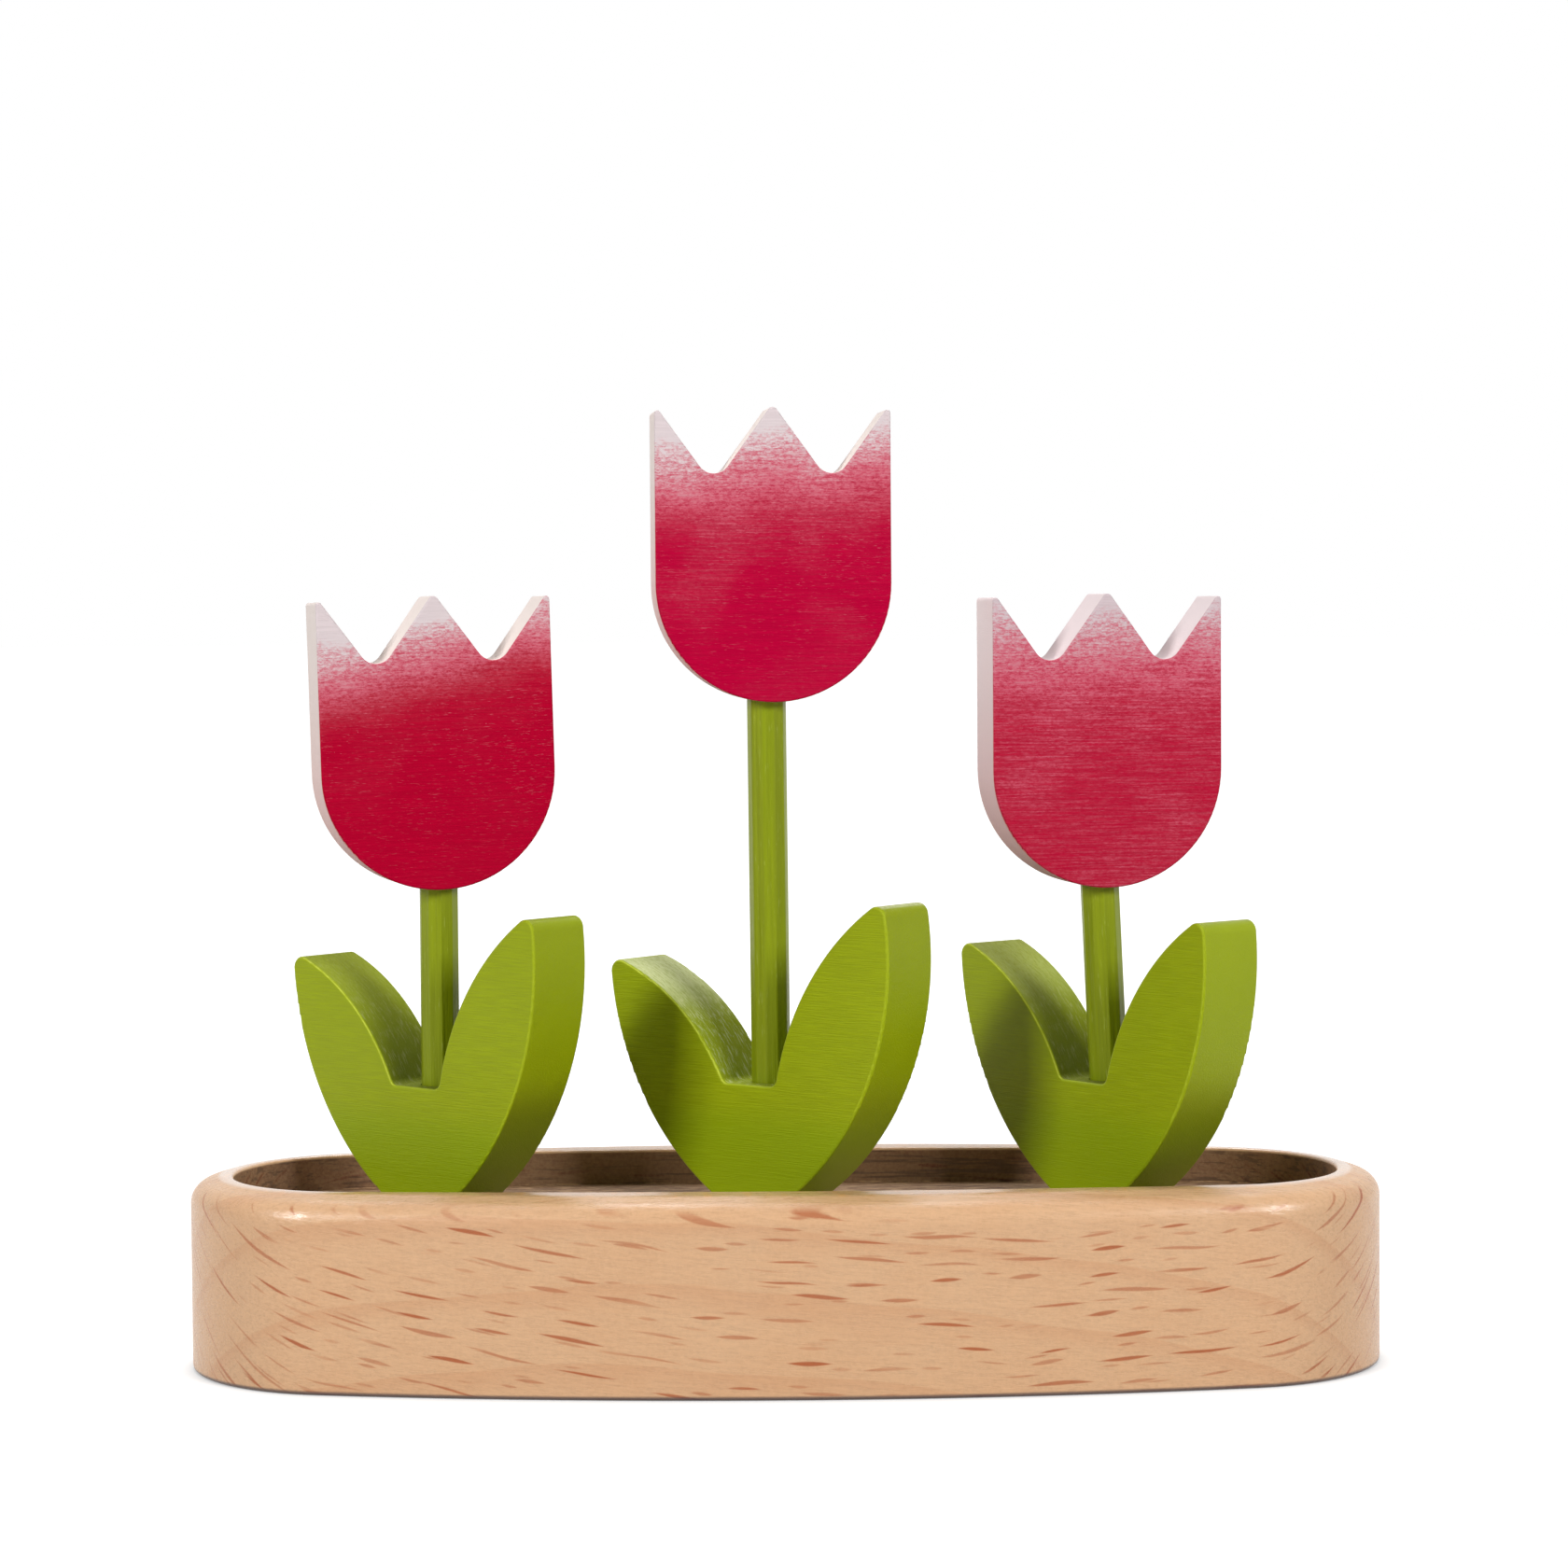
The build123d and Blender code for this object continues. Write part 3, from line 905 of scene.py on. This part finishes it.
@dataclass
class Tulip:
    """One tulip: a peg, a leaf pair, a stem and a flower head, in millimetres and degrees."""

    side: Side
    place: float
    leaf_turn: float
    stem_lean: float
    head_turn: float
    head_lean: float
    head_offset: float
    showing: float
    facet_turn: float
    notch_level: float = 21.5
    recess_floor: float = 12.0
    stem_radius: float = 1.5
    stem_sunk: float = 4.2
    stem_in_head: float = 6.5
    stem_facets: int = 10
    end_rounding: float = 0.2
    facet_rounding: float = 0.06
    seed_step: float = 7.3

    def stem_turn(self) -> Matrix:
        """Gives the turn of the stem's own frame."""
        return Matrix.Rotation(math.radians(-self.stem_lean), 3, "Y")

    def leaf_frame(self) -> Local:
        """Gives the frame of the leaf pair, at the middle of its foot."""
        return Local((self.place, 0.0, self.recess_floor), (0.0, 0.0, math.radians(-self.leaf_turn)))

    def stem_frame(self) -> Local:
        """Gives the frame of the stem, where it leaves the notch."""
        return Local((self.place, 0.0, self.notch_level), tuple(self.stem_turn().to_euler()))

    def head_frame(self) -> Local:
        """Gives the frame of the flower head, at its lowest point."""
        foot = Vector((self.place, 0.0, self.notch_level))
        foot += self.stem_turn() @ Vector((0.0, 0.0, self.showing))
        turn = Matrix.Rotation(math.radians(-self.head_lean), 3, "Y")
        turn = turn @ Matrix.Rotation(math.radians(self.head_turn), 3, "Z")
        foot += turn @ Vector((self.head_offset, 0.0, 0.0))
        return Local(tuple(foot), tuple(turn.to_euler()))

    def whittle_stem(self, material: Material) -> None:
        """Puts a dowel with long facets in place of the plain stem."""
        length = self.stem_sunk + self.showing + self.stem_in_head
        level_within = 0.1
        shape = bmesh.new()
        bmesh.ops.create_cone(
            shape,
            cap_ends=True,
            segments=self.stem_facets,
            radius1=self.stem_radius,
            radius2=self.stem_radius,
            depth=length,
        )
        round_off = partial(bmesh.ops.bevel, shape, segments=2, profile=0.5, affect="EDGES", material=-1)
        ends = [edge for edge in shape.edges if abs(edge.verts[0].co.z - edge.verts[1].co.z) < level_within]
        round_off(geom=ends, offset=self.end_rounding)
        long = [edge for edge in shape.edges if edge.calc_length() > length * 0.5]
        round_off(geom=long, offset=self.facet_rounding)
        place = Matrix.Translation((self.place, 0.0, self.notch_level)) @ self.stem_turn().to_4x4()
        place = place @ Matrix.Translation((0.0, 0.0, length / 2 - self.stem_sunk))
        place = place @ Matrix.Rotation(math.radians(self.facet_turn), 4, "Z")
        bmesh.ops.transform(shape, matrix=Matrix.Scale(MM, 4) @ place, verts=shape.verts)
        bmesh.ops.recalc_face_normals(shape, faces=shape.faces)
        name = self.side.value
        stem = add_mesh(name + "_whittled_stem", shape, material)
        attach(stem, name + "_leaves")
        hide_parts(name + "_stem")
        LOG.info("built %s", stem.name)

    def dress(self, effects: Effects) -> None:
        """Gives each of the tulip's pieces its finish."""
        name = self.side.value
        seed = self.seed_step * list(Side).index(self.side)
        leaves, head = LEAVES[self.side], HEADS[self.side]
        finishes = {
            "leaf_pair": GreenPaint(name + "_leaf_paint", self.leaf_frame(), LEAF_GREEN, seed=seed, **leaves),
            "flower_head": CrimsonPaint(name + "_head_paint", self.head_frame(), seed=seed, **head),
            "peg": BareBeech(name + "_peg_wood", self.stem_frame(), PEG_BEECH, seed=seed),
        }
        for part, finish in finishes.items():
            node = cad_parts[f"{name}_{part}"]
            node.data.materials[0] = finish.material(effects)
            LOG.info("dressed %s", node.name)
        stem = StemPaint(name + "_stem_paint", self.stem_frame(), STEM_GREEN, seed=seed)
        self.whittle_stem(stem.material(effects))


@dataclass
class Tray:
    """The beech tray with its shallow recess."""

    wood: TrayBeech = TrayBeech("tray_beech", Local(), TRAY_BEECH)

    def dress(self, effects: Effects) -> None:
        """Gives the tray its bare wood."""
        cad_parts["tray"].data.materials[0] = self.wood.material(effects)
        LOG.info("dressed tray")


@dataclass
class Studio:
    """Floor, backdrop, lamps and camera, in metres and degrees.

    The camera's place is in millimetres.
    """

    camera_place: Triple = (0.15, -300.0, 58.0)
    camera_pitch: float = 2.6
    camera_roll: float = -0.44
    lens: float = 90.0
    sensor_width: float = 36.0
    back_level: float = 0.9
    front_level: float = 0.02
    backdrop_span: Span = (0.1, 0.8)
    lamp_watts: float = 2.38
    lamp_size: float = 0.16
    lamp_distance: float = 0.62
    lamp_side: float = 46.0
    lamp_rise: float = 27.0
    lamp_aim: Triple = (0.0, 0.0, 0.03)
    top_place: Triple = (0.0, 0.25, 0.6)
    top_watts: float = 1.5
    top_size: float = 0.3
    floor_reach: float = 6.0
    floor_colour: float = 0.42
    floor_roughness: float = 0.9
    floor_glow: float = 0.78
    glow_span: Span = (0.09, 0.3)
    contact_reach: float = 0.003
    contact_span: Span = (0.2, 0.85)
    contact_glow: float = 0.45

    def shown_directly(self, painter: Painter) -> Socket:
        """Gives 1 to rays that see a surface straight, in a reflection or through glass, 0 to the rest."""
        seen = painter.add("ShaderNodeLightPath")
        direct = painter.math("MAXIMUM", seen.outputs["Is Camera Ray"], seen.outputs["Is Glossy Ray"])
        return painter.math("MAXIMUM", direct, seen.outputs["Is Transmission Ray"])

    def floor_paper(self) -> Material:
        """Makes the pale floor's material, which glows but for a thin shadow under the object."""
        material = bpy.data.materials.new("floor_paper")
        material.use_nodes = True
        painter = Painter(material.node_tree)
        shader = material.node_tree.nodes["Principled BSDF"]
        shader.inputs["Base Color"].default_value = (*[self.floor_colour] * 3, 1.0)
        shader.inputs["Roughness"].default_value = self.floor_roughness
        shader.inputs["Specular IOR Level"].default_value = 0.0
        place = painter.add("ShaderNodeTexCoord").outputs["Object"]
        length = painter.add("ShaderNodeVectorMath", operation="LENGTH")
        painter.feed(length.inputs[0], place)
        far = painter.step(length.outputs["Value"], *self.glow_span, self.floor_glow, 1.0)
        contact = painter.add("ShaderNodeAmbientOcclusion", samples=8)
        contact.inputs["Distance"].default_value = self.contact_reach
        open_sky = painter.step(contact.outputs["AO"], *self.contact_span, self.contact_glow, 1.0)
        glow = painter.add("ShaderNodeEmission")
        painter.feed(glow.inputs["Strength"], painter.times(far, open_sky, self.shown_directly(painter)))
        both = painter.add("ShaderNodeAddShader")
        painter.feed(both.inputs[0], shader.outputs[0])
        painter.feed(both.inputs[1], glow.outputs[0])
        painter.feed(material.node_tree.nodes["Material Output"].inputs[0], both.outputs[0])
        return material

    def add_floor(self) -> None:
        """Lays the pale floor."""
        shape = bmesh.new()
        bmesh.ops.create_grid(shape, x_segments=1, y_segments=1, size=self.floor_reach)
        floor = add_mesh("floor", shape, self.floor_paper())

    def add_world(self) -> None:
        """Lights the object from the bright backdrop, and shows white all round."""
        world = bpy.data.worlds.new("studio")
        bpy.context.scene.world = world
        world.use_nodes = True
        painter = Painter(world.node_tree)
        background = world.node_tree.nodes["Background"]
        background.inputs["Color"].default_value = (1.0, 1.0, 1.0, 1.0)
        _, depth, _ = painter.split(painter.add("ShaderNodeTexCoord").outputs["Generated"])
        level = painter.step(depth, *self.backdrop_span, self.front_level, self.back_level)
        direct = self.shown_directly(painter)
        dimmed = painter.times(level, painter.rest(direct))
        painter.feed(background.inputs["Strength"], painter.plus(dimmed, direct))

    def add_lamp(self, name: str, place: Vector, watts: float, size: float) -> None:
        """Puts up a soft lamp that points at the tulips.

        Args:
            name: Name of the lamp.
            place: Middle of its panel, in metres.
            watts: Power of the lamp.
            size: Width and height of its panel, in metres.
        """
        data = bpy.data.lights.new(name, "AREA")
        data.energy = watts
        data.size = size
        lamp = bpy.data.objects.new(name, data)
        lamp.location = place
        lamp.rotation_euler = (place - Vector(self.lamp_aim)).to_track_quat("Z", "Y").to_euler()
        bpy.context.scene.collection.objects.link(lamp)

    def add_camera(self) -> None:
        """Places the camera where the photograph was taken."""
        data = bpy.data.cameras.new("camera")
        data.lens = self.lens
        data.sensor_width = self.sensor_width
        camera = bpy.data.objects.new("camera", data)
        pitch, roll = math.radians(self.camera_pitch), math.radians(self.camera_roll)
        right = Vector((1.0, 0.0, 0.0))
        forward = Vector((0.0, math.cos(pitch), -math.sin(pitch)))
        up = right.cross(forward)
        rolled_right = right * math.cos(roll) + up * math.sin(roll)
        rolled_up = up * math.cos(roll) - right * math.sin(roll)
        turn = Matrix((rolled_right, rolled_up, -forward)).transposed()
        camera.matrix_world = Matrix.Translation(Vector(self.camera_place) * MM) @ turn.to_4x4()
        bpy.context.scene.collection.objects.link(camera)
        bpy.context.scene.camera = camera

    def build(self) -> None:
        """Sets up everything around the object."""
        bpy.context.scene.view_settings.view_transform = "Standard"
        self.add_floor()
        self.add_world()
        rise = math.radians(self.lamp_rise)
        for name, side in (("left_lamp", -self.lamp_side), ("right_lamp", self.lamp_side)):
            turn = math.radians(side)
            flat = math.cos(rise)
            away = Vector((math.sin(turn) * flat, -math.cos(turn) * flat, math.sin(rise)))
            self.add_lamp(name, away * self.lamp_distance, self.lamp_watts, self.lamp_size)
        self.add_lamp("top_lamp", Vector(self.top_place), self.top_watts, self.top_size)
        self.add_camera()


TULIPS = (
    Tulip(
        Side.LEFT, place=-26.4, leaf_turn=40.4, stem_lean=0.0, head_turn=15.3,
        head_lean=1.3, head_offset=-0.1, showing=15.1, facet_turn=11.0,
    ),
    Tulip(
        Side.CENTRE, place=-1.0, leaf_turn=38.1, stem_lean=0.3, head_turn=6.0,
        head_lean=0.0, head_offset=0.4, showing=29.2, facet_turn=22.0,
    ),
    Tulip(
        Side.RIGHT, place=24.95, leaf_turn=51.6, stem_lean=2.5, head_turn=11.5,
        head_lean=0.0, head_offset=0.0, showing=14.9, facet_turn=5.0,
    ),
)


def main() -> None:
    """Dresses the tulips and the tray, and sets up the studio."""
    logging.basicConfig(level=logging.INFO, format="%(message)s")
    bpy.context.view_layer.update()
    effects = Effects(grain_effect(), speck_effect(), ray_effect())
    Tray().dress(effects)
    for tulip in TULIPS:
        tulip.dress(effects)
    Studio().build()


if __name__ == "__main__":
    main()
